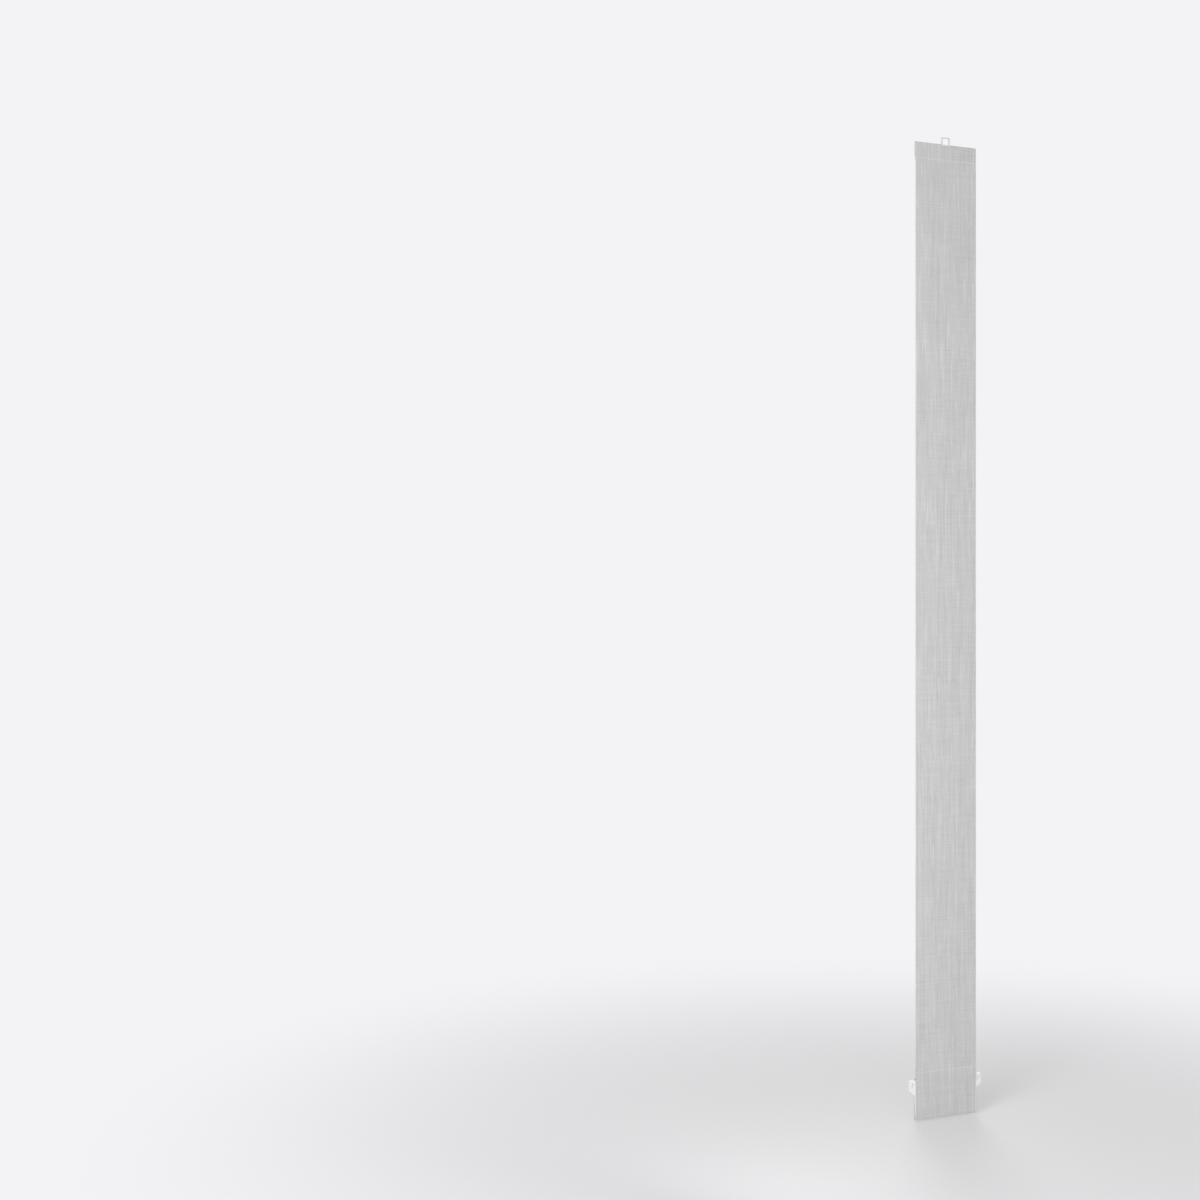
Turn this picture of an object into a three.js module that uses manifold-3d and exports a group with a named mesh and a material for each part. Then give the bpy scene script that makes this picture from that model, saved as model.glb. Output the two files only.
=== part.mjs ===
// A cloth vane of a vertical blind. A strip of cloth is folded over at both ends and welded to
// itself, so that each end is a pocket. The top pocket holds a moulded hanger, whose loop comes up
// through a notch in the fold. The bottom pocket holds a moulded case with a steel weight in it and
// a slotted lug at each side.
// Millimetres, +Z up, X across the width, and -Y the front. The origin is where the vane hangs: the
// middle of the underside of the loop's top bar.
import * as THREE from "three";
import { mergeVertices } from "three/addons/utils/BufferGeometryUtils.js";
import Module from "manifold-3d";

const wasm = await Module();
wasm.setup();

// Cloth
const VANE_WIDTH = 89;
const VANE_HEIGHT = 1200; // from fold to fold
const CLOTH = 0.5; // thickness of one layer
const FOLD_RADIUS = 0.6; // inside a fold's two corners
const POCKET_CLEARANCE = 0.3; // between the cloth and what its pocket holds
const WELD_HEIGHT = 1.6;
const WELD_PRESS = 0.08; // how deep the weld is pressed in, on each face
const TOP_SLACK = 2.2; // from the hanger's lower edge to the top weld
const BOTTOM_SLACK = 8.4; // from the case's upper edge to the bottom weld
const FLAP_TAIL = 3; // raw edge left beyond a weld
const TAIL_LIFT = 0.15; // how far the raw edge stands off the strip
const NOTCH_CLEARANCE = 0.5; // beside the loop
const NOTCH_CORNER = 0.8;

// Hanger
const OPENING_WIDTH = 9; // opening of the loop
const OPENING_HEIGHT = 7.2;
const OPENING_CORNER = 0.6;
const LOOP_SIDE = 1.7; // width of a side bar
const LOOP_TOP = 1.8; // height of the top bar
const LOOP_FOOT = 2; // height of the lower bar
const LOOP_THICKNESS = 1.8;
const LOOP_CORNER = 1.2;
const SHOULDER_DROP = 0.6; // from the opening's lower edge to the shoulders
const HANGER_HEIGHT = 16; // below the shoulders
const HANGER_SIDE_MARGIN = 0.6; // inside the cloth's edge
const HANGER_RIM = 2.4;
const HANGER_RIM_THICKNESS = 1.2;
const HANGER_WEB = 0.8; // thickness of the two panels inside the rim
const HANGER_CHAMFER = 4; // of the lower corners
const HANGER_CORNER = 1;
const WINDOW_MARGIN = 3.2; // from a panel's edge to the opening in it
const MIN_CHAMFER = 0.2; // least left of the chamfer on a panel's corner

// Weight case
const CASE_HEIGHT = 48;
const CASE_SIDE_CLEARANCE = 0.3; // inside the cloth's edge
const CASE_FLOOR = 0.6;
const CASE_SIDE_RIM = 5;
const CASE_END_RIM = 3;
const CASE_CORNER = 1.2;
const CASE_LEAN = 1.1; // how far each side draws in, from below the lug to the lower edge
const CASE_LEAN_DROP = 1; // from the lug's foot down to where the lean starts
const PLATE_THICKNESS = 1;
const PLATE_CORNER = 1;
const PLATE_CLEARANCE = 0.25; // all round the plate
const TAB_THICKNESS = 0.5;
const TAB_WIDTH = 10;
const TAB_REACH = 1.6; // over the plate's edge
const TAB_SPACING = 44; // between the two tabs on one edge
const TAB_WINDOW_MARGIN = 0.4; // of the floor's opening, round the tab
const LUG_REACH = 8; // beyond the cloth's edge
const LUG_THICKNESS = 2;
const LUG_SETBACK = 0.2; // of its front, behind the case's front
const LUG_EDGE = 12.6; // length of the upright outer edge
const LUG_TAPER = 6.4; // height of the slanted lower edge
const LUG_CORNER = 0.6;
const LUG_ROOT = 0.5; // how far the case's full thickness runs beyond the cloth's edge
const SLOT_WIDTH = 2.5;
const SLOT_HEIGHT = 5.4;
const SLOT_CORNER = 1;
const SLOT_FROM_EDGE = 4; // from the lug's outer edge to the slot's middle
const SLOT_FROM_TOP = 6; // from the lug's upper edge to the slot's middle

// Mouldings
const EDGE_BREAK = 0.2; // small bevel on moulded edges
const JOIN = 1.5; // how far a joined piece runs into its neighbour

// Levels and widths that follow
const loopWidth = OPENING_WIDTH + 2 * LOOP_SIDE;
const shoulder = -OPENING_HEIGHT - SHOULDER_DROP;
const loopBottom = -OPENING_HEIGHT - LOOP_FOOT;
const hangerWidth = VANE_WIDTH - 2 * HANGER_SIDE_MARGIN;
const hangerBottom = shoulder - HANGER_HEIGHT;
const topFold = shoulder + POCKET_CLEARANCE + CLOTH;
const topWeld = hangerBottom - TOP_SLACK;
const topGap = HANGER_RIM_THICKNESS + 2 * POCKET_CLEARANCE;
const stripBack = -topGap / 2;
const stripFront = stripBack - CLOTH;
const bottomFold = topFold - VANE_HEIGHT;
const caseBottom = bottomFold + CLOTH + POCKET_CLEARANCE;
const caseTop = caseBottom + CASE_HEIGHT;
const bottomWeld = caseTop + BOTTOM_SLACK;
const caseWidth = VANE_WIDTH - 2 * CASE_SIDE_CLEARANCE;
const caseThickness = CASE_FLOOR + PLATE_THICKNESS + 2 * PLATE_CLEARANCE + TAB_THICKNESS;
const caseFront = stripBack + POCKET_CLEARANCE;
const caseMiddle = (caseTop + caseBottom) / 2;
const trayWidth = caseWidth - 2 * CASE_SIDE_RIM;
const trayHeight = CASE_HEIGHT - 2 * CASE_END_RIM;
const lugFoot = caseTop - LUG_EDGE - LUG_TAPER;

// Draws a closed outline through corners [across, up, radius]; a corner with no radius is sharp.
// Where the first corner is sharp, the second one is too, because an arc drops a point that only
// starts the path.
function outline(corners, path = new THREE.Shape()) {
  const at = (i) => new THREE.Vector2(...corners[(i + corners.length) % corners.length]);
  corners.forEach(([, , radius], i) => {
    const corner = at(i);
    if (!radius) {
      path[i ? "lineTo" : "moveTo"](corner.x, corner.y);
      return;
    }
    const back = at(i - 1).sub(corner).normalize();
    const ahead = at(i + 1).sub(corner).normalize();
    const half = back.angleTo(ahead) / 2;
    const reach = radius / Math.tan(half);
    const centre = back.clone().add(ahead).setLength(radius / Math.sin(half)).add(corner);
    const start = back.clone().multiplyScalar(reach).add(corner).sub(centre).angle();
    const end = ahead.clone().multiplyScalar(reach).add(corner).sub(centre).angle();
    path.absarc(centre.x, centre.y, radius, start, end, back.cross(ahead) > 0);
  });
  return path;
}

// A rectangle's outline between two levels, with one radius at all its corners.
function rectangle(middle, width, low, high, radius, path) {
  const left = middle - width / 2;
  const right = middle + width / 2;
  const corners = [[left, low], [right, low], [right, high], [left, high]];
  return outline(corners.map(([x, z]) => [x, z, radius]), path);
}

// Raises an outline drawn across X and up Z into a slab whose front face is at y = front.
function slab(shape, thickness, front, edge = 0) {
  const settings = {
    depth: thickness - 2 * edge,
    curveSegments: 4,
    bevelEnabled: edge > 0,
    bevelThickness: edge,
    bevelSize: edge,
    bevelOffset: -edge,
    bevelSegments: 2,
  };
  const geometry = new THREE.ExtrudeGeometry(shape, settings);
  geometry.rotateX(Math.PI / 2);
  geometry.translate(0, front + thickness - edge, 0);
  return geometry;
}

function toSolid(geometry) {
  const bare = geometry.clone();
  bare.deleteAttribute("normal");
  bare.deleteAttribute("uv");
  const merged = mergeVertices(bare);
  const mesh = new wasm.Mesh({
    numProp: 3,
    vertProperties: merged.attributes.position.array,
    triVerts: new Uint32Array(merged.index.array),
  });
  return new wasm.Manifold(mesh);
}

function toGeometry(solid) {
  const mesh = solid.getMesh();
  const geometry = new THREE.BufferGeometry();
  geometry.setAttribute("position", new THREE.BufferAttribute(mesh.vertProperties, 3));
  geometry.setIndex(new THREE.BufferAttribute(mesh.triVerts, 1));
  const faceted = geometry.toNonIndexed();
  faceted.computeVertexNormals();
  return faceted;
}

// Outside of one end of the folded strip, from the back of its weld over the fold to the front.
// The front is flat, so the pocket stands out at the back alone. up is 1 at the top and -1 at the
// bottom, and gap is the room inside the pocket.
function pocketOutside(up, weld, mouth, fold, gap) {
  const flap = stripBack + CLOTH;
  const outside = stripBack + gap + CLOTH;
  const bend = FOLD_RADIUS + CLOTH;
  const weldEnd = weld - up * WELD_HEIGHT;
  const press = up * WELD_PRESS;
  const tail = weldEnd - up * FLAP_TAIL;
  return [
    [stripBack, weldEnd],
    [stripBack + TAIL_LIFT, weldEnd - up * CLOTH],
    [stripBack + TAIL_LIFT, tail],
    [flap + TAIL_LIFT, tail],
    [flap + TAIL_LIFT, weldEnd - up * CLOTH],
    [flap - WELD_PRESS, weldEnd + press],
    [flap - WELD_PRESS, weld - press],
    [flap, weld],
    [outside, mouth],
    [outside, fold, bend],
    [stripFront, fold, bend],
    [stripFront, weld],
    [stripFront + WELD_PRESS, weld - press],
    [stripFront + WELD_PRESS, weldEnd + press],
    [stripFront, weldEnd],
  ];
}

function pocketInside(up, weld, mouth, fold, gap) {
  const inside = fold - up * CLOTH;
  const corners = [
    [stripBack + gap, mouth],
    [stripBack, weld],
    [stripBack, inside, FOLD_RADIUS],
    [stripBack + gap, inside, FOLD_RADIUS],
  ];
  return outline(corners, new THREE.Path());
}

// The strip is its own section, drawn across Y and up Z, run along the width. The fold over the
// hanger is notched for the loop.
function fabricLouvre() {
  const bottomGap = caseThickness + 2 * POCKET_CLEARANCE;
  const top = [1, topWeld, hangerBottom, topFold, topGap];
  const bottom = [-1, bottomWeld, caseTop, bottomFold, bottomGap];
  const section = outline([...pocketOutside(...top), ...pocketOutside(...bottom).reverse()]);
  section.holes.push(pocketInside(...top), pocketInside(...bottom));
  const strip = new THREE.ExtrudeGeometry(section, {
    depth: VANE_WIDTH,
    curveSegments: 4,
    bevelEnabled: false,
  });
  strip.translate(0, 0, -VANE_WIDTH / 2);
  const alongY = new THREE.Vector3(0, 1, 0);
  const alongZ = new THREE.Vector3(0, 0, 1);
  const alongX = new THREE.Vector3(1, 0, 0);
  strip.applyMatrix4(new THREE.Matrix4().makeBasis(alongY, alongZ, alongX));

  const notchWidth = loopWidth + 2 * NOTCH_CLEARANCE;
  const notchBottom = loopBottom - POCKET_CLEARANCE;
  const notchTop = topFold + NOTCH_CORNER + CLOTH;
  const notch = rectangle(0, notchWidth, notchBottom, notchTop, NOTCH_CORNER);
  const pocketThickness = topGap + 2 * CLOTH;
  const cutter = slab(notch, 2 * pocketThickness, -pocketThickness);
  return toGeometry(toSolid(strip).subtract(toSolid(cutter)));
}

// The panel inside the hanger's rim on one side, inset from the hanger's edge: side is -1 or 1.
// Its corner follows the hanger's chamfer at the same distance.
function hangerPanel(side, inset) {
  const inner = loopWidth / 2 + inset - HANGER_RIM;
  const outer = hangerWidth / 2 - inset;
  const low = hangerBottom + inset;
  const high = shoulder - inset;
  const chamfer = Math.max(HANGER_CHAMFER - inset * (2 - Math.SQRT2), MIN_CHAMFER);
  const corners = [
    [inner, low],
    [outer - chamfer, low],
    [outer, low + chamfer],
    [outer, high],
    [inner, high],
  ];
  return outline(corners.map(([x, z]) => [side * x, z]));
}

// The opening in the middle of one panel.
function panelWindow(side) {
  const inset = HANGER_RIM + WINDOW_MARGIN;
  const inner = loopWidth / 2 + WINDOW_MARGIN;
  const outer = hangerWidth / 2 - inset;
  const middle = (side * (inner + outer)) / 2;
  const low = hangerBottom + inset;
  const high = shoulder - inset;
  return rectangle(middle, outer - inner, low, high, HANGER_CORNER, new THREE.Path());
}

function topHanger() {
  const half = hangerWidth / 2;
  const frame = outline([
    [-half + HANGER_CHAMFER, hangerBottom, HANGER_CORNER],
    [half - HANGER_CHAMFER, hangerBottom, HANGER_CORNER],
    [half, hangerBottom + HANGER_CHAMFER, HANGER_CORNER],
    [half, shoulder, HANGER_CORNER],
    [-half, shoulder, HANGER_CORNER],
    [-half, hangerBottom + HANGER_CHAMFER, HANGER_CORNER],
  ]);
  const loop = rectangle(0, loopWidth, loopBottom, LOOP_TOP, LOOP_CORNER);
  loop.holes.push(rectangle(0, OPENING_WIDTH, -OPENING_HEIGHT, 0, OPENING_CORNER, new THREE.Path()));
  const loopSolid = toSolid(slab(loop, LOOP_THICKNESS, -LOOP_THICKNESS / 2, EDGE_BREAK));

  let solid = toSolid(slab(frame, HANGER_RIM_THICKNESS, -HANGER_RIM_THICKNESS / 2));
  for (const side of [-1, 1]) {
    const recess = hangerPanel(side, HANGER_RIM);
    const web = hangerPanel(side, HANGER_RIM / 2);
    web.holes.push(panelWindow(side));
    solid = solid.subtract(toSolid(slab(recess, 2 * HANGER_RIM_THICKNESS, -HANGER_RIM_THICKNESS)));
    solid = solid.add(toSolid(slab(web, HANGER_WEB, -HANGER_WEB / 2)));
  }
  return toGeometry(solid.add(loopSolid));
}

// One lug, with the short stretch of full thickness at its root: side is -1 or 1.
function lug(side) {
  const edge = VANE_WIDTH / 2;
  const inside = edge - CASE_SIDE_CLEARANCE - JOIN;
  const tip = edge + LUG_REACH;
  const root = edge + LUG_ROOT;
  const rootLow = lugFoot + (LUG_TAPER * LUG_ROOT) / LUG_REACH;
  const mirrored = (corners) => corners.map(([x, z, radius]) => [side * x, z, radius]);
  const blade = outline(mirrored([
    [inside, caseTop],
    [inside, lugFoot],
    [edge, lugFoot],
    [tip, caseTop - LUG_EDGE, LUG_CORNER],
    [tip, caseTop, LUG_CORNER],
  ]));
  const collar = outline(mirrored([
    [inside, caseTop],
    [inside, lugFoot],
    [edge, lugFoot],
    [root, rootLow],
    [root, caseTop],
  ]));
  const slotMiddle = side * (tip - SLOT_FROM_EDGE);
  const slotLow = caseTop - SLOT_FROM_TOP - SLOT_HEIGHT / 2;
  const slotHigh = slotLow + SLOT_HEIGHT;
  blade.holes.push(
    rectangle(slotMiddle, SLOT_WIDTH, slotLow, slotHigh, SLOT_CORNER, new THREE.Path()),
  );
  const bladeSolid = toSolid(slab(blade, LUG_THICKNESS, caseFront + LUG_SETBACK, EDGE_BREAK));
  return bladeSolid.add(toSolid(slab(collar, caseThickness, caseFront, EDGE_BREAK)));
}

// The case is a tray, open at the back, with two tabs over the plate at its upper and lower edges.
// The floor is open under each tab, which is how such a tab is moulded. Below the lugs its sides
// lean inward, so that it slides into the pocket.
function bottomWeightCase() {
  const half = caseWidth / 2;
  const body = outline([
    [CASE_LEAN - half, caseBottom, CASE_CORNER],
    [half - CASE_LEAN, caseBottom, CASE_CORNER],
    [half, lugFoot - CASE_LEAN_DROP],
    [half, caseTop],
    [-half, caseTop],
    [-half, lugFoot - CASE_LEAN_DROP],
  ]);
  const tray = rectangle(
    0, trayWidth, caseMiddle - trayHeight / 2, caseMiddle + trayHeight / 2, PLATE_CORNER,
  );
  let solid = toSolid(slab(body, caseThickness, caseFront, EDGE_BREAK));
  solid = solid.subtract(toSolid(slab(tray, caseThickness, caseFront + CASE_FLOOR)));
  for (const side of [-1, 1]) {
    for (const up of [-1, 1]) {
      const middle = (side * TAB_SPACING) / 2;
      const wall = caseMiddle + (up * trayHeight) / 2;
      const tip = wall - up * (TAB_REACH + PLATE_CLEARANCE);
      const root = wall + up * JOIN;
      const windowTip = tip - up * TAB_WINDOW_MARGIN;
      const low = Math.min(tip, root);
      const tab = rectangle(middle, TAB_WIDTH, low, low + Math.abs(tip - root), 0);
      const openLow = Math.min(windowTip, wall);
      const openHigh = Math.max(windowTip, wall);
      const open = rectangle(middle, TAB_WIDTH + 2 * TAB_WINDOW_MARGIN, openLow, openHigh, 0);
      const tabFront = caseFront + caseThickness - TAB_THICKNESS;
      solid = solid.add(toSolid(slab(tab, TAB_THICKNESS - EDGE_BREAK, tabFront)));
      const cutDepth = 2 * CASE_FLOOR + PLATE_CLEARANCE;
      solid = solid.subtract(toSolid(slab(open, cutDepth, caseFront - CASE_FLOOR)));
    }
    solid = solid.add(lug(side));
  }
  return toGeometry(solid);
}

function steelWeightPlate() {
  const width = trayWidth - 2 * PLATE_CLEARANCE;
  const half = trayHeight / 2 - PLATE_CLEARANCE;
  const shape = rectangle(0, width, caseMiddle - half, caseMiddle + half, PLATE_CORNER);
  return slab(shape, PLATE_THICKNESS, caseFront + CASE_FLOOR + PLATE_CLEARANCE);
}

const clothFinish = new THREE.MeshStandardMaterial({ color: "#c6c6c6", roughness: 0.9 });
const mouldedFinish = new THREE.MeshStandardMaterial({ color: "#e9e8e6", roughness: 0.45 });
const steelFinish = new THREE.MeshStandardMaterial({
  color: "#a7abad",
  roughness: 0.4,
  metalness: 1,
});

const vane = new THREE.Group();
const pieces = [
  ["fabric_louvre", fabricLouvre(), clothFinish],
  ["top_hanger", topHanger(), mouldedFinish],
  ["bottom_weight_case", bottomWeightCase(), mouldedFinish],
  ["steel_weight_plate", steelWeightPlate(), steelFinish],
];
for (const [name, geometry, finish] of pieces) {
  const mesh = new THREE.Mesh(geometry, finish.clone());
  mesh.name = name;
  vane.add(mesh);
}

export default vane;
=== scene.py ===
# %% [markdown]
# # A cloth vane of a vertical blind
# This lesson dresses one vane: a strip of cloth, folded and welded at both ends, with a moulded
# hanger in the top pocket and a moulded weight case in the bottom one.
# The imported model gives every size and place. The mouldings keep their own shapes and get real
# finishes, and the cloth is modelled again as a thin folded sheet.
# One unit is a metre, Z is up, X runs across the vane, and -Y is its front.

# %% Load the frame
import math
import random

import bpy
import numpy as np
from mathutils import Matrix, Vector


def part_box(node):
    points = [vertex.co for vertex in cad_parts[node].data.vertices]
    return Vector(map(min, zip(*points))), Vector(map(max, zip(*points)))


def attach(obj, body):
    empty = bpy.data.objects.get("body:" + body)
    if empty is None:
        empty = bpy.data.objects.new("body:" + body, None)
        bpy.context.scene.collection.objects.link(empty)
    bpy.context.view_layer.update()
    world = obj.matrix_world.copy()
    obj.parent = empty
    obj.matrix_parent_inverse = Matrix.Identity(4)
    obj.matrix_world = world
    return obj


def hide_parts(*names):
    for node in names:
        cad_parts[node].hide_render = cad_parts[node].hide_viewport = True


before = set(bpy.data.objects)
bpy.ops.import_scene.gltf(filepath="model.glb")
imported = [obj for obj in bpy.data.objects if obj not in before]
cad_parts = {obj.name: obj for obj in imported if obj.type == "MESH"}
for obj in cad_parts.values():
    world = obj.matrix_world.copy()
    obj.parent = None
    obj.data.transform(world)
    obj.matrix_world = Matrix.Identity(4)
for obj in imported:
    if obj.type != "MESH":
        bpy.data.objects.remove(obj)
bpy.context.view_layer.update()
MM = 0.001
print("CAD nodes:", ", ".join(sorted(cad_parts)))

# %% [markdown]
# The camera comes first. A lens in millimetres on a 36 mm wide
# sensor is easy to carry over from a measured photograph. The camera is level, so upright edges
# stay upright, and it looks at the vane a little from the left.

# %% Camera
CAMERA_PLACE = (-1.3111, -1.87625, -0.5693)
CAMERA_TURN = math.radians(-24.2)
SENSOR_WIDTH = 36
LENS = 54.6
bpy.ops.object.camera_add(location=CAMERA_PLACE, rotation=(math.pi / 2, 0, CAMERA_TURN))
camera = bpy.context.object
camera.data.sensor_width = SENSOR_WIDTH
camera.data.lens = LENS
bpy.context.scene.camera = camera
bpy.context.scene.view_settings.view_transform = "Standard"
print("camera", tuple(round(c, 4) for c in camera.location), "lens", camera.data.lens)

# %% [markdown]
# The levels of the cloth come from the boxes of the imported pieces, so the strip lies exactly where
# the model says. The welds lie just beyond what each pocket holds.

# %% Levels of the strip
CLOTH = 0.5 * MM  # thickness of one layer
PLY_GAP = 0.02 * MM  # between the two layers at a weld
WELD_HEIGHT = 1.6 * MM
WELD_PRESS = 0.08 * MM  # how deep a weld is pressed in, on each face
FLAP_TAIL = 3.0 * MM  # raw edge left beyond a weld
TAIL_LIFT = 0.15 * MM  # how far the raw edge stands off the strip
TOP_SLACK = 2.2 * MM  # from the hanger to the top weld
BOTTOM_SLACK = 8.4 * MM  # from the case to the bottom weld
ROW = 4.0 * MM  # from one row of points to the next, where the line is straight

cloth_low, cloth_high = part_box("fabric_louvre")
hanger_low, hanger_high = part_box("top_hanger")
case_low, case_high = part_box("bottom_weight_case")
strip_width = cloth_high.x - cloth_low.x
strip_middle = cloth_low.y + CLOTH / 2
top_weld = hanger_low.z - TOP_SLACK
bottom_weld = case_high.z + BOTTOM_SLACK
print("strip", round(strip_width / MM, 2), "mm wide, welds at", round(top_weld / MM, 2),
      "and", round(bottom_weld / MM, 2))

# %% [markdown]
# Seen from the side, the strip is one long line that turns back on itself at both ends. Drawing
# that line as points first makes the folding simple: the cloth's end is then pulled out from point
# to point, as a ribbon is laid along a ruler. Corners that real cloth would round are cut off
# twice, which turns a bend of straight pieces into a soft one.

# %% Soften the bends of a line
def softened(points, rounds=2):
    """Cuts the inner corners of a line of (y, z) points, and keeps its two ends."""
    for _ in range(rounds):
        cut = [points[0]]
        for (y0, z0), (y1, z1) in zip(points, points[1:]):
            cut += [(0.75 * y0 + 0.25 * y1, 0.75 * z0 + 0.25 * z1),
                    (0.25 * y0 + 0.75 * y1, 0.25 * z0 + 0.75 * z1)]
        points = cut + [points[-1]]
    return points


print("a right-angled bend gets", len(softened([(0, 0), (1, 0), (1, 1)])), "points")

# %% [markdown]
# One function draws either end, because both are folded the same way. Its line starts at the raw
# edge, runs down the weld, swings out round what the pocket holds, turns over the fold and comes
# back up the front. The sign called up turns it over for the other end.

# %% One end of the strip
RAMP = 3.2 * MM  # before the mouth, where the rear wall starts to swing out
RAMP_SHARE = 0.9  # most of the way from the mouth to the seam that this may take
FULL_DEPTH = 6 * MM  # beyond the mouth, where the rear wall is all the way out
MOUTH_ROOM = 0.25 * MM  # between the cloth and what the pocket holds, at the mouth
TAIL_RISE = (1.2 * MM, 0.5 * MM)  # beyond a weld, where the raw edge is up, and starts to rise
LEAST_STEP = 0.5 * MM  # the last row stays this far from the fold
QUARTER_STEPS = 6


def pocket(up, fold, mouth, seam, back, held, radius):
    """The strip's end from its raw edge at the back, over the fold, to the front of its weld.
    back is the middle of the rear wall, and held is the back of what the pocket holds."""
    flap = strip_middle + CLOTH + PLY_GAP
    bend = radius + CLOTH / 2
    start = fold - up * (CLOTH / 2 + bend)
    seam_end = seam - up * WELD_HEIGHT
    weld = [seam_end + up * WELD_PRESS, (seam + seam_end) / 2, seam - up * WELD_PRESS]
    full = mouth + up * FULL_DEPTH
    ramp_start = mouth - up * min(RAMP, RAMP_SHARE * abs(seam - mouth))
    tail = [(flap + TAIL_LIFT, seam_end - up * FLAP_TAIL),
            (flap + TAIL_LIFT, seam_end - up * TAIL_RISE[0]),
            (flap + 0.3 * TAIL_LIFT, seam_end - up * TAIL_RISE[1]), (flap, seam_end)]
    swell = softened([(flap, seam), (flap, ramp_start), (held + MOUTH_ROOM + CLOTH / 2, mouth),
                      (back, full), (back, full + up * MM)])
    levels = np.arange(full + up * ROW, start - up * LEAST_STEP, up * ROW)
    turn = []
    for centre, first in ((back - bend, 0), (strip_middle + bend, 90)):
        for step in range(QUARTER_STEPS + 1):
            angle = math.radians(first + 90 * step / QUARTER_STEPS)
            turn.append((centre + bend * math.cos(angle), start + up * bend * math.sin(angle)))
    front = [(strip_middle, z) for z in np.arange(start - up * ROW, seam + up * MM, -up * ROW)]
    front += [(strip_middle, z) for z in [seam] + weld[::-1] + [seam_end]]
    return tail + [(flap, z) for z in weld] + swell + [(back, z) for z in levels] + turn + front


HANGER_BACK = 0.6 * MM
TOP_BACK = 1.15 * MM  # middle of the top pocket's rear wall
TOP_RADIUS = 0.75 * MM  # inside the top fold's corners
BOTTOM_RADIUS = 0.9 * MM
BOTTOM_BACK = cloth_high.y - CLOTH / 2
top = pocket(1, cloth_high.z, hanger_low.z, top_weld, TOP_BACK, HANGER_BACK, TOP_RADIUS)
bottom = pocket(-1, cloth_low.z, case_high.z, bottom_weld, BOTTOM_BACK, case_high.y,
                BOTTOM_RADIUS)
print("points: top end", len(top), "and bottom end", len(bottom))

# %% [markdown]
# The two ends are joined by a straight run of even rows. Adding up the steps along the line gives
# the length to which the real strip would be cut.

# %% The whole line
free = top[-1][1] - bottom[-1][1]
rows = round(free / ROW)
between = [(strip_middle, top[-1][1] - free * step / rows) for step in range(1, rows)]
line = top + between + bottom[::-1]
lengths = [0.0]
for (y0, z0), (y1, z1) in zip(line, line[1:]):
    lengths.append(lengths[-1] + math.hypot(y1 - y0, z1 - z0))
print(len(line), "points, cloth", round(lengths[-1] / MM, 1), "mm long before folding")
closest = min(b - a for a, b in zip(lengths, lengths[1:]))
print("shortest step", round(closest / MM, 3), "mm")

# %% [markdown]
# Operators work on whatever is selected, so a forgotten selection can change the wrong thing.
# Three short helpers make one object the only selected one, settle its place in its mesh, and add
# a modifier and apply it at once.

# %% Small helpers for modelling
def only(obj):
    """Selects one object and makes it the active one."""
    bpy.ops.object.select_all(action="DESELECT")
    obj.select_set(True)
    bpy.context.view_layer.objects.active = obj


def settle(obj):
    """Writes an object's place, turn and scale into its mesh."""
    only(obj)
    bpy.ops.object.transform_apply(location=True, rotation=True, scale=True)
    return obj


def finish_modifier(obj, kind, **settings):
    """Adds one modifier and applies it."""
    only(obj)
    modifier = obj.modifiers.new(kind.title(), kind)
    for name, value in settings.items():
        setattr(modifier, name, value)
    bpy.ops.object.modifier_apply(modifier=modifier.name)


print("helpers:", ", ".join(f.__name__ for f in (only, settle, finish_modifier)))

# %% [markdown]
# The real strip is cut from a roll and folded over at both ends. Here it starts as a plane. All of
# it but one edge is deleted, and that edge is extruded from point to point of the line. A curve
# with a width could do it too, but a mesh can then be cut, thickened and given its own map of
# threads.

# %% Fold the strip
bpy.ops.object.select_all(action="DESELECT")
bpy.ops.mesh.primitive_plane_add(size=strip_width, location=(0, line[0][0], line[0][1]))
cloth = bpy.context.object
cloth.name = "woven_strip"
settle(cloth)
bpy.ops.object.mode_set(mode="EDIT")
bpy.ops.mesh.select_mode(type="VERT")
bpy.ops.mesh.select_all(action="DESELECT")
bpy.ops.object.mode_set(mode="OBJECT")
for vertex in cloth.data.vertices:
    vertex.select = vertex.co.y > line[0][0]
bpy.ops.object.mode_set(mode="EDIT")
bpy.ops.mesh.delete(type="VERT")
bpy.ops.mesh.select_all(action="SELECT")
bpy.ops.transform.translate(value=(0, strip_width / 2, 0))
for (y0, z0), (y1, z1) in zip(line, line[1:]):
    bpy.ops.mesh.extrude_region_move(TRANSFORM_OT_translate={"value": (0, y1 - y0, z1 - z0)})
bpy.ops.object.mode_set(mode="OBJECT")
print("folded:", len(cloth.data.polygons), "rows")

# %% [markdown]
# Cloth needs a map that follows its threads: across the strip and along it, in metres, measured as
# if it were laid flat. Each point of the folded line knows how far along the strip it lies, so the
# map is written from that, before the strip is divided across.

# %% Map the threads
places = np.array(line)
along = np.array(lengths)
corners = np.array([v.co for v in cloth.data.vertices])
nearest = np.array([np.argmin(((places - c[1:]) ** 2).sum(1)) for c in corners])
threads = cloth.data.uv_layers.new(name="threads")
threads.active_render = True
cloth.data.uv_layers.active = threads
for loop in cloth.data.loops:
    vertex = loop.vertex_index
    threads.data[loop.index].uv = (corners[vertex][0], along[nearest[vertex]])
for spare in [layer.name for layer in cloth.data.uv_layers if layer.name != "threads"]:
    cloth.data.uv_layers.remove(cloth.data.uv_layers[spare])
print("map runs", round(along[-1], 4), "m along the strip")

# %% [markdown]
# So far each row is one long face. The slubs need points across the strip as well, about as far
# apart as the yarns, so every crosswise edge is subdivided. Blender fills in the map between its
# two ends by itself, because the map was there first.

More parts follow.
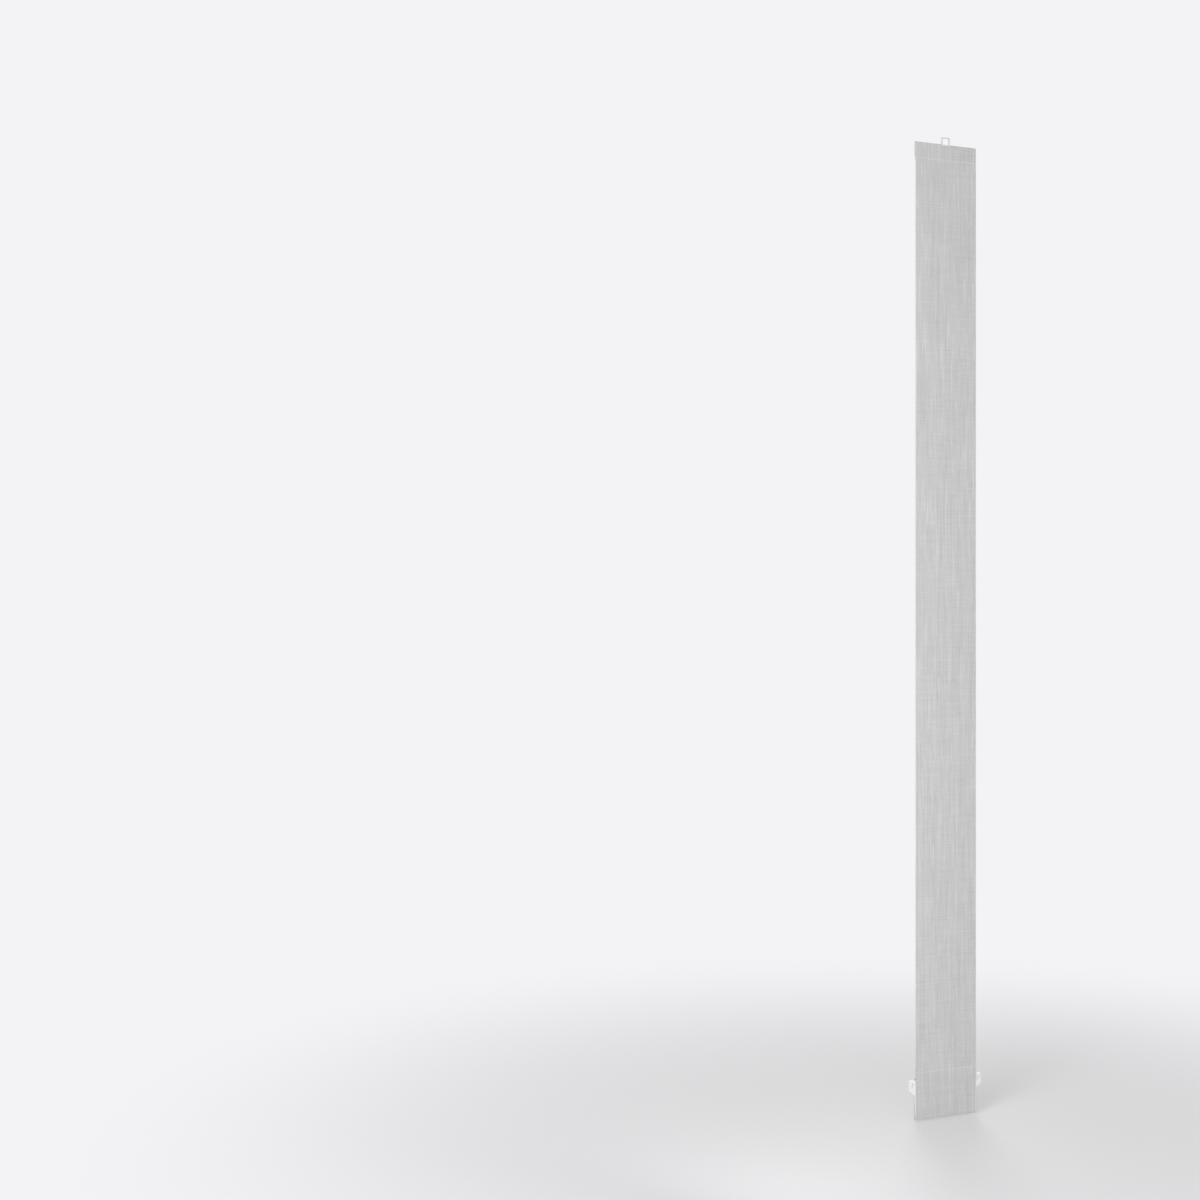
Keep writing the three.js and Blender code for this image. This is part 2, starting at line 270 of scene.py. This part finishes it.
# %% Divide it across
ACROSS = 98
only(cloth)
bpy.ops.object.mode_set(mode="EDIT")
bpy.ops.mesh.select_mode(type="EDGE")
bpy.ops.mesh.select_all(action="DESELECT")
bpy.ops.object.mode_set(mode="OBJECT")
for edge in cloth.data.edges:
    a, b = (corners[i] for i in edge.vertices)
    edge.select = bool(abs(a[0] - b[0]) > strip_width / 2)
bpy.ops.object.mode_set(mode="EDIT")
bpy.ops.mesh.subdivide(number_cuts=ACROSS)
bpy.ops.object.mode_set(mode="OBJECT")
print("divided:", len(cloth.data.polygons), "faces")

# %% [markdown]
# A strip that hangs from one loop is never truly flat. A slow, shallow unevenness of a fifth of a
# millimetre is enough to break up the light. A Displace modifier with soft clouds makes it.

# %% Let it hang a little unevenly
WAVE = 0.16  # metres, roughly from one shallow hollow to the next
WAVE_HEIGHT = 0.4 * MM
hang = bpy.data.textures.new("slow_unevenness", "CLOUDS")
hang.noise_scale = WAVE
hang.noise_depth = 1
finish_modifier(cloth, "DISPLACE", texture=hang, texture_coords="LOCAL", direction="Y",
                strength=WAVE_HEIGHT, mid_level=0.5)
CLEAR_OF_POCKETS = 0.1
depths = [v.co.y for v in cloth.data.vertices
          if bottom_weld + CLEAR_OF_POCKETS < v.co.z < top_weld - CLEAR_OF_POCKETS]
print("the front now varies by", round((max(depths) - min(depths)) / MM, 2), "mm")

# %% [markdown]
# Linen-look cloth has slubs: thick places in the lengthwise yarns, a centimetre to four long. They
# are thicker and paler than the yarns beside them. Each one is a seeded random place on the strip,
# kept as an attribute that both the shape and the finish read.

# %% Scatter the slubs
SLUBS = 620
SLUB_HALF = (5, 21)  # half a slub's length, millimetres
SLUB_STRENGTH = (0.25, 1.0)
draw = random.Random(11)
column = strip_width / (ACROSS + 1)
points = len(cloth.data.vertices)
flat = np.zeros((points, 2))
loop_vertex = np.zeros(len(cloth.data.loops), int)
loop_uv = np.zeros(len(cloth.data.loops) * 2)
cloth.data.loops.foreach_get("vertex_index", loop_vertex)
cloth.data.uv_layers["threads"].data.foreach_get("uv", loop_uv)
flat[loop_vertex] = loop_uv.reshape(-1, 2)
slub = np.zeros(points)
for _ in range(SLUBS):
    across = -strip_width / 2 + column * draw.randint(1, ACROSS)
    middle = draw.uniform(0, along[-1])
    half = draw.uniform(*SLUB_HALF) * MM
    strength = draw.uniform(*SLUB_STRENGTH)
    near = np.abs(flat[:, 0] - across) < column * 0.4
    reach = np.clip(1 - ((flat[:, 1] - middle) / half) ** 2, 0, 1)
    slub = np.maximum(slub, strength * near * np.sqrt(reach))
layer = cloth.data.attributes.new("slub", "FLOAT", "POINT")
layer.data.foreach_set("value", slub)
print("slubs cover", round(100 * float((slub > 0.1).mean()), 1), "% of the points")

# %% [markdown]
# Solidify gives the sheet its half millimetre, and copies the map and the slubs to both faces. The
# slubs are then raised along the normals. The points at the cut sides stay where they are, so that
# the edge stays clean.

# %% Thicken the sheet and raise the slubs
SLUB_RELIEF = 0.05 * MM
EDGE_BAND = 0.1 * MM  # at the cut sides, where nothing is raised
finish_modifier(cloth, "SOLIDIFY", thickness=CLOTH, offset=0, use_even_offset=True)
mesh = cloth.data
count = len(mesh.vertices)
co = np.zeros(count * 3)
mesh.vertices.foreach_get("co", co)
co = co.reshape(-1, 3)
normal = np.zeros(count * 3)
mesh.vertex_normals.foreach_get("vector", normal)
normal = normal.reshape(-1, 3)
raised = np.zeros(count)
mesh.attributes["slub"].data.foreach_get("value", raised)
inside_edges = np.abs(co[:, 0]) < strip_width / 2 - EDGE_BAND
co += normal * (raised * inside_edges * SLUB_RELIEF)[:, None]
print("raised", int((raised * inside_edges > 0).sum()), "of", count, "points")

# %% [markdown]
# An ultrasonic welder presses both layers together and half melts the yarns. So the rows of each
# weld are pressed in at the front and at the back, and marked in an attribute that the finish
# reads.

# %% Press the welds
melted = np.zeros(count)
for seam, up in ((top_weld, 1), (bottom_weld, -1)):
    low, high = sorted((seam - up * WELD_PRESS * 0.5,
                        seam - up * (WELD_HEIGHT - WELD_PRESS * 0.5)))
    in_weld = (co[:, 2] > low) & (co[:, 2] < high)
    strip_front = in_weld & (co[:, 1] < strip_middle)
    flap_back = in_weld & (co[:, 1] > strip_middle + CLOTH)
    co[strip_front, 1] += WELD_PRESS
    co[flap_back, 1] -= WELD_PRESS
    melted[in_weld] = 1
    print("weld at", round(seam / MM, 1), "presses", int(strip_front.sum()), "and",
          int(flap_back.sum()), "points")
mesh.vertices.foreach_set("co", co.ravel())
mesh.attributes.new("weld", "FLOAT", "POINT").data.foreach_set("value", melted)
mesh.update()

# %% [markdown]
# The loop of the hanger comes up through a notch punched in the top fold. The punch is a block
# with rounded corners, and a Boolean modifier takes it out of the cloth.

# %% Punch the notch
NOTCH_HALF = 6.7 * MM
NOTCH_LOW = -9.5 * MM
NOTCH_CORNER = 0.8 * MM
NOTCH_SEGMENTS = 5
PUNCH_DEPTH = 12 * MM  # more than the pocket's, so that it cuts both walls
SMOOTH_ANGLE = math.radians(35)  # sharper edges than this stay sharp
notch_high = cloth_high.z + 2 * MM
bpy.ops.object.select_all(action="DESELECT")
bpy.ops.mesh.primitive_cube_add(size=1, location=(0, 0, (NOTCH_LOW + notch_high) / 2),
                                scale=(2 * NOTCH_HALF, PUNCH_DEPTH, notch_high - NOTCH_LOW))
punch = settle(bpy.context.object)
bpy.ops.object.mode_set(mode="EDIT")
bpy.ops.mesh.select_mode(type="EDGE")
bpy.ops.mesh.select_all(action="DESELECT")
bpy.ops.object.mode_set(mode="OBJECT")
for edge in punch.data.edges:
    a, b = (punch.data.vertices[i].co for i in edge.vertices)
    edge.select = abs(a.y - b.y) > MM and a.z < cloth_high.z - MM
bpy.ops.object.mode_set(mode="EDIT")
bpy.ops.mesh.bevel(offset=NOTCH_CORNER, segments=NOTCH_SEGMENTS, affect="EDGES")
bpy.ops.object.mode_set(mode="OBJECT")
finish_modifier(cloth, "BOOLEAN", object=punch, operation="DIFFERENCE", solver="EXACT")
bpy.data.objects.remove(punch)
only(cloth)
bpy.ops.object.shade_smooth_by_angle(angle=SMOOTH_ANGLE)
triangles = sum(len(p.vertices) - 2 for p in cloth.data.polygons)
print("cloth:", len(cloth.data.polygons), "faces,", triangles, "triangles")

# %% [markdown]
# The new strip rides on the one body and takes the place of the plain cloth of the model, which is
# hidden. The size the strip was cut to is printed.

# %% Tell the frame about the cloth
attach(cloth, "root")
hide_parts("fabric_louvre")
print("cut size:", round(strip_width, 4), "by", round(float(along[-1]), 4), "m")

# %% [markdown]
# Finishes are made of nodes. Four short helpers keep the cells readable: one feeds a socket with a
# number or a link, one does sums, one maps a range softly, and one adds a noise that can be
# stretched along a direction.

# %% Helpers for sums and noise
def feed(tree, socket, value):
    """Gives a socket a link or a plain value, whichever value is."""
    if isinstance(value, bpy.types.NodeSocket):
        tree.links.new(value, socket)
    else:
        socket.default_value = value


def calc(tree, operation, *values):
    """One Math node, fed with numbers or sockets."""
    node = tree.nodes.new("ShaderNodeMath")
    node.operation = operation
    for socket, value in zip(node.inputs, values):
        feed(tree, socket, value)
    return node.outputs[0]


def stretched_noise(tree, vector, scale, detail=2.0):
    """Noise whose grain is 1 / scale metres long in each direction."""
    sized = tree.nodes.new("ShaderNodeVectorMath")
    sized.operation = "MULTIPLY"
    feed(tree, sized.inputs[0], vector)
    sized.inputs[1].default_value = scale
    noise = tree.nodes.new("ShaderNodeTexNoise")
    noise.inputs["Scale"].default_value = 1.0
    noise.inputs["Detail"].default_value = detail
    noise.inputs["Roughness"].default_value = 0.5
    tree.links.new(sized.outputs[0], noise.inputs["Vector"])
    return noise.outputs["Fac"]


def ramp(tree, value, low, high, out_low=0.0, out_high=1.0):
    """Maps a value from one range to another, softly and without going past the ends."""
    node = tree.nodes.new("ShaderNodeMapRange")
    node.interpolation_type = "SMOOTHSTEP"
    for name, given in (("Value", value), ("From Min", low), ("From Max", high),
                        ("To Min", out_low), ("To Max", out_high)):
        feed(tree, node.inputs[name], given)
    return node.outputs["Result"]


print("helpers:", ", ".join(f.__name__ for f in (feed, calc, stretched_noise, ramp)))

# %% [markdown]
# Three more helpers make a new material with its shader, give it a fine relief through a Bump
# node, and set its colour to one plain colour times a tone that varies.

# %% Helpers for materials
def new_finish(name):
    """A new material, its node tree and its Principled shader."""
    material = bpy.data.materials.new(name)
    material.use_nodes = True
    tree = material.node_tree
    return material, tree, tree.nodes["Principled BSDF"]


def bump(tree, shader, height, distance, strength):
    """Turns a height into relief that is too fine to model."""
    node = tree.nodes.new("ShaderNodeBump")
    node.inputs["Distance"].default_value = distance
    node.inputs["Strength"].default_value = strength
    feed(tree, node.inputs["Height"], height)
    tree.links.new(node.outputs["Normal"], shader.inputs["Normal"])


def tinted(tree, shader, colour, tone):
    """Sets the base colour to one colour times a tone that varies."""
    node = tree.nodes.new("ShaderNodeVectorMath")
    node.operation = "SCALE"
    node.inputs[0].default_value = colour
    feed(tree, node.inputs["Scale"], tone)
    tree.links.new(node.outputs[0], shader.inputs["Base Color"])


print("helpers:", ", ".join(f.__name__ for f in (new_finish, bump, tinted)))

# %% [markdown]
# The cloth is a plain weave of grey polyester yarns that imitates linen. Where a lengthwise yarn
# passes over a crosswise one it makes a small long crown, and the other way round beside it. Two
# cosines give that chequer, and they also say which yarn is on top. Each yarn has a number, and
# noise over that number gives it a tone of its own that changes slowly along it. That makes the
# fine upright streaks of such cloth: the lengthwise yarns differ more than the crosswise ones.

# %% The yarns of the weave
YARN = 0.70 * MM
woven, tree, shader = new_finish("woven_grey_cloth")
uv = tree.nodes.new("ShaderNodeUVMap")
uv.uv_map = "threads"
split = tree.nodes.new("ShaderNodeSeparateXYZ")
tree.links.new(uv.outputs["UV"], split.inputs[0])
across, down = split.outputs["X"], split.outputs["Y"]
warp_wave = calc(tree, "COSINE", calc(tree, "MULTIPLY", across, math.pi / YARN))
weft_wave = calc(tree, "COSINE", calc(tree, "MULTIPLY", down, math.pi / YARN))
over = calc(tree, "MULTIPLY", warp_wave, weft_wave)
warp_crown = calc(tree, "MULTIPLY", over, calc(tree, "MULTIPLY", warp_wave, warp_wave))
weft_crown = calc(tree, "MULTIPLY", over, calc(tree, "MULTIPLY", weft_wave, weft_wave))
weave = calc(tree, "MAXIMUM", warp_crown, calc(tree, "MULTIPLY", weft_crown, -1.0))


def yarn_tone(beside, lengthwise, step, stretch, seed):
    """A tone for each yarn: beside runs from yarn to yarn, and lengthwise along them.
    step is how much the tone may change from one yarn to the next, and stretch is a length."""
    number = calc(tree, "ROUND", calc(tree, "DIVIDE", beside, YARN))
    place = tree.nodes.new("ShaderNodeCombineXYZ")
    feed(tree, place.inputs["X"], number)
    feed(tree, place.inputs["Y"], lengthwise)
    place.inputs["Z"].default_value = seed
    return stretched_noise(tree, place.outputs[0], (step, 1 / stretch, 1))


long_streaks = yarn_tone(across, down, 0.7, 110 * MM, 3.5)
short_streaks = yarn_tone(across, down, 1.7, 30 * MM, 8.5)
warp_yarns = calc(tree, "ADD", long_streaks, short_streaks)
weft_yarns = yarn_tone(down, across, 1.3, 28 * MM, 5.5)
warp_on_top = ramp(tree, over, -0.2, 0.2)
print("yarns across the strip:", round(strip_width / YARN))

# %% [markdown]
# Two places of the cloth are half molten: the rows at the welds and the heat-cut edges. The
# welder's wheel is toothed, so a weld is a row of small pressed marks and not one plain line. The
# marks come from a cosine across the strip, and the edges from the map of threads.

# %% Molten rows and edges
TOOTH = 1.8 * MM
MOLTEN_EDGE = (1.1 * MM, 0.3 * MM)  # from the cut, where the melting starts to show and is full
weld = tree.nodes.new("ShaderNodeAttribute")
weld.attribute_name = "weld"
to_side = calc(tree, "SUBTRACT", strip_width / 2, calc(tree, "ABSOLUTE", across))
to_end = calc(tree, "MINIMUM", down, calc(tree, "SUBTRACT", float(along[-1]), down))
cut_edge = ramp(tree, calc(tree, "MINIMUM", to_side, to_end), *MOLTEN_EDGE)
teeth = calc(tree, "COSINE", calc(tree, "MULTIPLY", across, 2 * math.pi / TOOTH))
pressed = calc(tree, "MULTIPLY", weld.outputs["Fac"], calc(tree, "MULTIPLY_ADD", teeth, 0.3, 0.9))
molten = calc(tree, "MAXIMUM", pressed, calc(tree, "MULTIPLY", cut_edge, 0.8))
print("marks in a weld:", round(strip_width / TOOTH))

# %% [markdown]
# The tone adds up from the yarns, the weave's crowns and the slubs, and the yarn on top counts for
# most of it. Slow mottle and small flecks come on top. The molten places are a little paler and
# smoother, and their weave is nearly flat.

# %% The woven finish
CLOTH_COLOUR = (0.575, 0.575, 0.573)
BASE_TONE = 0.865
WEAVE_RELIEF = 0.10 * MM
slubs = tree.nodes.new("ShaderNodeAttribute")
slubs.attribute_name = "slub"
mottle = stretched_noise(tree, uv.outputs["UV"], (1 / (14 * MM), 1 / (40 * MM), 1))
flecks = stretched_noise(tree, uv.outputs["UV"], (1 / (1.5 * MM), 1 / (1.3 * MM), 1))
yarn_share = calc(tree, "MULTIPLY", calc(tree, "SUBTRACT", warp_yarns, 1.0),
                  calc(tree, "MULTIPLY_ADD", warp_on_top, 0.54, 0.05))
weft_share = calc(tree, "MULTIPLY", calc(tree, "SUBTRACT", weft_yarns, 0.5),
                  calc(tree, "MULTIPLY_ADD", warp_on_top, -0.42, 0.46))
tone = calc(tree, "ADD", yarn_share, weft_share)
parts = ((mottle, 0.06), (flecks, 0.14), (weave, 0.10), (slubs.outputs["Fac"], 0.15),
         (molten, 0.09))
for part, share in parts:
    tone = calc(tree, "MULTIPLY_ADD", part, share, tone)
tone = calc(tree, "ADD", tone, BASE_TONE)
tinted(tree, shader, CLOTH_COLOUR, tone)
feed(tree, shader.inputs["Roughness"], calc(tree, "MULTIPLY_ADD", molten, -0.30, 0.85))
shader.inputs["Specular IOR Level"].default_value = 0.3
shader.inputs["Sheen Weight"].default_value = 0.12
shader.inputs["Sheen Roughness"].default_value = 0.5
height = calc(tree, "MULTIPLY_ADD", warp_yarns, 0.3, weave)
height = calc(tree, "MULTIPLY_ADD", slubs.outputs["Fac"], 0.5, height)
height = calc(tree, "MULTIPLY", height, calc(tree, "MULTIPLY_ADD", molten, -0.6, 1.0))
bump(tree, shader, height, WEAVE_RELIEF, 0.6)
cloth.data.materials.clear()
cloth.data.materials.append(woven)
print(woven.name, "has", len(tree.nodes), "nodes")

# %% [markdown]
# The hanger and the case are injection moulded in white plastic. Moulded plastic is never one
# tone: it has a faint orange peel from the tool, and slow clouds where it cooled. Round its edges
# runs the fine line where the two halves of the tool met. Where the vane hangs, and round the two
# slots, use has rubbed the plastic a little greyer and smoother.

# %% Moulded white plastic
SEAM_HALF = (0.10 * MM, 0.04 * MM)  # from the parting line, where it starts to show and is full
WORN_REACH = (4.2 * MM, 1.6 * MM)  # from a worn place, likewise
CLOUDS = (60, 60, 60)  # noises, in grains for each metre
SCUFFS = (900, 900, 260)
PEEL = (1400, 1400, 1400)
PEEL_RELIEF = 0.03 * MM


def moulded(name, colour, roughness, parting, rubbed):
    """parting is the level on Y where the tool parted, and rubbed lists places that are worn."""
    material, tree, shader = new_finish(name)
    place = tree.nodes.new("ShaderNodeTexCoord").outputs["Object"]
    split = tree.nodes.new("ShaderNodeSeparateXYZ")
    tree.links.new(place, split.inputs[0])
    off_line = calc(tree, "ABSOLUTE", calc(tree, "SUBTRACT", split.outputs["Y"], parting))
    seam = ramp(tree, off_line, *SEAM_HALF)
    worn = 0.0
    for spot in rubbed:
        apart = tree.nodes.new("ShaderNodeVectorMath")
        apart.operation = "DISTANCE"
        tree.links.new(place, apart.inputs[0])
        apart.inputs[1].default_value = spot
        near = ramp(tree, apart.outputs["Value"], *WORN_REACH)
        worn = calc(tree, "MAXIMUM", near, worn)
    clouds = stretched_noise(tree, place, CLOUDS)
    scuffs = stretched_noise(tree, place, SCUFFS, 3.0)
    peel = stretched_noise(tree, place, PEEL, 1.0)
    worn = calc(tree, "MULTIPLY", worn, ramp(tree, scuffs, 0.35, 0.65, 0.3, 1.0))
    tone = calc(tree, "MULTIPLY_ADD", clouds, 0.06, 0.97)
    tone = calc(tree, "MULTIPLY_ADD", seam, -0.10, tone)
    tone = calc(tree, "MULTIPLY_ADD", worn, -0.09, tone)
    tinted(tree, shader, colour, tone)
    satin = calc(tree, "MULTIPLY_ADD", clouds, 0.12, roughness)
    feed(tree, shader.inputs["Roughness"], calc(tree, "MULTIPLY_ADD", worn, -0.14, satin))
    height = calc(tree, "MULTIPLY_ADD", seam, 1.5, peel)
    bump(tree, shader, height, PEEL_RELIEF, 0.5)
    return material


print("orange peel: grains of", round(1 / PEEL[0] / MM, 1), "mm")

# %% [markdown]
# Both mouldings keep the shapes of the model and use that finish, each with its own tone of white.
# The hanger's is a shade darker and warmer, so that its thin loop still shows against a pale
# background.

# %% Dress the mouldings
def dress(node_name, material):
    """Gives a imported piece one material, in all its slots."""
    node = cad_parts[node_name]
    if not node.data.materials:
        node.data.materials.append(material)
    for slot in node.material_slots:
        slot.material = material
    print(node_name, "wears", material.name)


HANGER_WHITE = (0.70, 0.686, 0.664)
CASE_WHITE = (0.86, 0.86, 0.855)
HANGING_PLACE = (0, 0, 0)
SLOT_PLACE = (48.5 * MM, 0.6 * MM, case_high.z - 6 * MM)
other_slot = (-SLOT_PLACE[0], SLOT_PLACE[1], SLOT_PLACE[2])
hanger_parting = (hanger_low.y + hanger_high.y) / 2
case_parting = (case_low.y + case_high.y) / 2
dress("top_hanger", moulded("hanger_white_plastic", HANGER_WHITE, 0.38, hanger_parting,
                            [HANGING_PLACE]))
dress("bottom_weight_case", moulded("case_white_plastic", CASE_WHITE, 0.36, case_parting,
                                    [other_slot, SLOT_PLACE]))

# %% [markdown]
# The plate in the case is plain steel sheet with a thin zinc coat: a dull metal with rolling marks
# along it and faint cloudy crystals. Almost none of it shows, behind the cloth and the tabs.

# %% Zinc-plated steel
ZINC_COLOUR = (0.60, 0.62, 0.64)
ROLLED_RELIEF = 0.02 * MM
zinc, tree, shader = new_finish("zinc_plated_sheet")
place = tree.nodes.new("ShaderNodeTexCoord").outputs["Object"]
spangle = stretched_noise(tree, place, (160, 160, 160), 3.0)
rolled = stretched_noise(tree, place, (20, 900, 900), 2.0)
tone = calc(tree, "MULTIPLY_ADD", spangle, 0.25, 0.87)
tinted(tree, shader, ZINC_COLOUR, tone)
shader.inputs["Metallic"].default_value = 1.0
feed(tree, shader.inputs["Roughness"], calc(tree, "MULTIPLY_ADD", rolled, 0.2, 0.3))
bump(tree, shader, rolled, ROLLED_RELIEF, 0.5)
dress("steel_weight_plate", zinc)

# %% [markdown]
# The vane hangs just above a pale floor that keeps its shadow. Far from the vane the floor turns
# into the plain background colour for every ray that shows it directly, so no horizon shows. The
# rays that only carry light still meet real floor, so the light stays natural.

# %% Floor
PALE = (0.896, 0.896, 0.922, 1)
FLOOR_COLOUR = (0.82, 0.82, 0.83, 1)
FLOOR_RADIUS = 40
FLOOR_GAP = 2.5 * MM
bpy.ops.object.select_all(action="DESELECT")
bpy.ops.mesh.primitive_circle_add(vertices=96, radius=FLOOR_RADIUS, fill_type="NGON",
                                  location=(0, 0, cloth_low.z - FLOOR_GAP))
floor = settle(bpy.context.object)
floor.name = "floor"
print("floor at", round((cloth_low.z - FLOOR_GAP) / MM, 1), "mm")

# %% [markdown]
# The floor's material mixes two shaders: a matt one near the vane, and a plain glow of the
# background's colour far from it. The distance comes from Object coordinates, and the Light Path
# node limits the glow to rays that show the background.

# %% The floor's finish
NEAR_AND_FAR = (0.15, 1.1)  # metres from the vane, where the glow starts and is full


def seen_directly(tree):
    """1 for rays that show the background: from the camera, in reflections and through glass."""
    path = tree.nodes.new("ShaderNodeLightPath")
    seen = calc(tree, "MAXIMUM", path.outputs["Is Camera Ray"], path.outputs["Is Glossy Ray"])
    return calc(tree, "MAXIMUM", seen, path.outputs["Is Transmission Ray"])


pale, tree, shader = new_finish("pale_floor")
shader.inputs["Base Color"].default_value = FLOOR_COLOUR
shader.inputs["Roughness"].default_value = 0.9
shader.inputs["Specular IOR Level"].default_value = 0.1
place = tree.nodes.new("ShaderNodeTexCoord").outputs["Object"]
split = tree.nodes.new("ShaderNodeSeparateXYZ")
tree.links.new(place, split.inputs[0])
flat_place = tree.nodes.new("ShaderNodeCombineXYZ")
tree.links.new(split.outputs["X"], flat_place.inputs["X"])
tree.links.new(split.outputs["Y"], flat_place.inputs["Y"])
reach = tree.nodes.new("ShaderNodeVectorMath")
reach.operation = "LENGTH"
tree.links.new(flat_place.outputs[0], reach.inputs[0])
far = ramp(tree, reach.outputs["Value"], *NEAR_AND_FAR)
plain = tree.nodes.new("ShaderNodeEmission")
plain.inputs["Color"].default_value = PALE
mix = tree.nodes.new("ShaderNodeMixShader")
feed(tree, mix.inputs[0], calc(tree, "MULTIPLY", far, seen_directly(tree)))
tree.links.new(shader.outputs[0], mix.inputs[1])
tree.links.new(plain.outputs[0], mix.inputs[2])
tree.links.new(mix.outputs[0], tree.nodes["Material Output"].inputs["Surface"])
floor.data.materials.append(pale)
print("floor turns into background by", NEAR_AND_FAR[1], "m")

# %% [markdown]
# Much of the light comes evenly from all round, from the world. Its Background node is mixed with
# a second one in the plain pale colour, which only the rays that show the background see. That way
# the light's level and the background's tone can be set apart.

# %% Even light
AMBIENT = 0.50
world = bpy.data.worlds.new("studio")
bpy.context.scene.world = world
world.use_nodes = True
tree = world.node_tree
tree.nodes.clear()
around = tree.nodes.new("ShaderNodeBackground")
around.inputs["Color"].default_value = (1, 1, 1, 1)
around.inputs["Strength"].default_value = AMBIENT
shown = tree.nodes.new("ShaderNodeBackground")
shown.inputs["Color"].default_value = PALE
shown.inputs["Strength"].default_value = 1.0
mix = tree.nodes.new("ShaderNodeMixShader")
feed(tree, mix.inputs[0], seen_directly(tree))
tree.links.new(around.outputs[0], mix.inputs[1])
tree.links.new(shown.outputs[0], mix.inputs[2])
output = tree.nodes.new("ShaderNodeOutputWorld")
tree.links.new(mix.outputs[0], output.inputs["Surface"])
print("even light at", AMBIENT)

# %% [markdown]
# Five soft panels shape the rest. A narrow one near the left edge fades across the vane, as
# daylight from the side does, and a large one farther off on the same side lights its whole
# height. A low one lifts the foot, one behind lights the pocket and the back, and one high above
# brightens the floor. Their power is low enough that pale plastic and floor keep their tones.

# %% Panels
def panel(name, place, aim, size, power):
    """A soft rectangular light that looks at one point."""
    turn = (Vector(aim) - Vector(place)).to_track_quat("-Z", "Y").to_euler()
    bpy.ops.object.light_add(type="AREA", location=place, rotation=turn)
    lamp = bpy.context.object
    lamp.name = name
    lamp.data.shape = "RECTANGLE"
    lamp.data.size, lamp.data.size_y = size
    lamp.data.energy = power
    print(name, power, "W")


MIDDLE = (0, 0, -0.6)
panel("near_panel", (-0.40, -0.22, -0.3), (0, 0, -0.3), (0.2, 1.6), 1.5)
panel("far_panel", (-1.9, -1.5, -0.4), (0, 0, -0.8), (1.0, 1.4), 20)
panel("low_panel", (-0.5, -1.6, -0.85), (0, 0, -1.1), (0.8, 0.5), 3.4)
panel("back_panel", (1.2, 2.2, -0.2), MIDDLE, (1.0, 1.4), 22)
panel("high_lamp", (0, -0.2, 3.6), MIDDLE, (2.0, 2.0), 14)
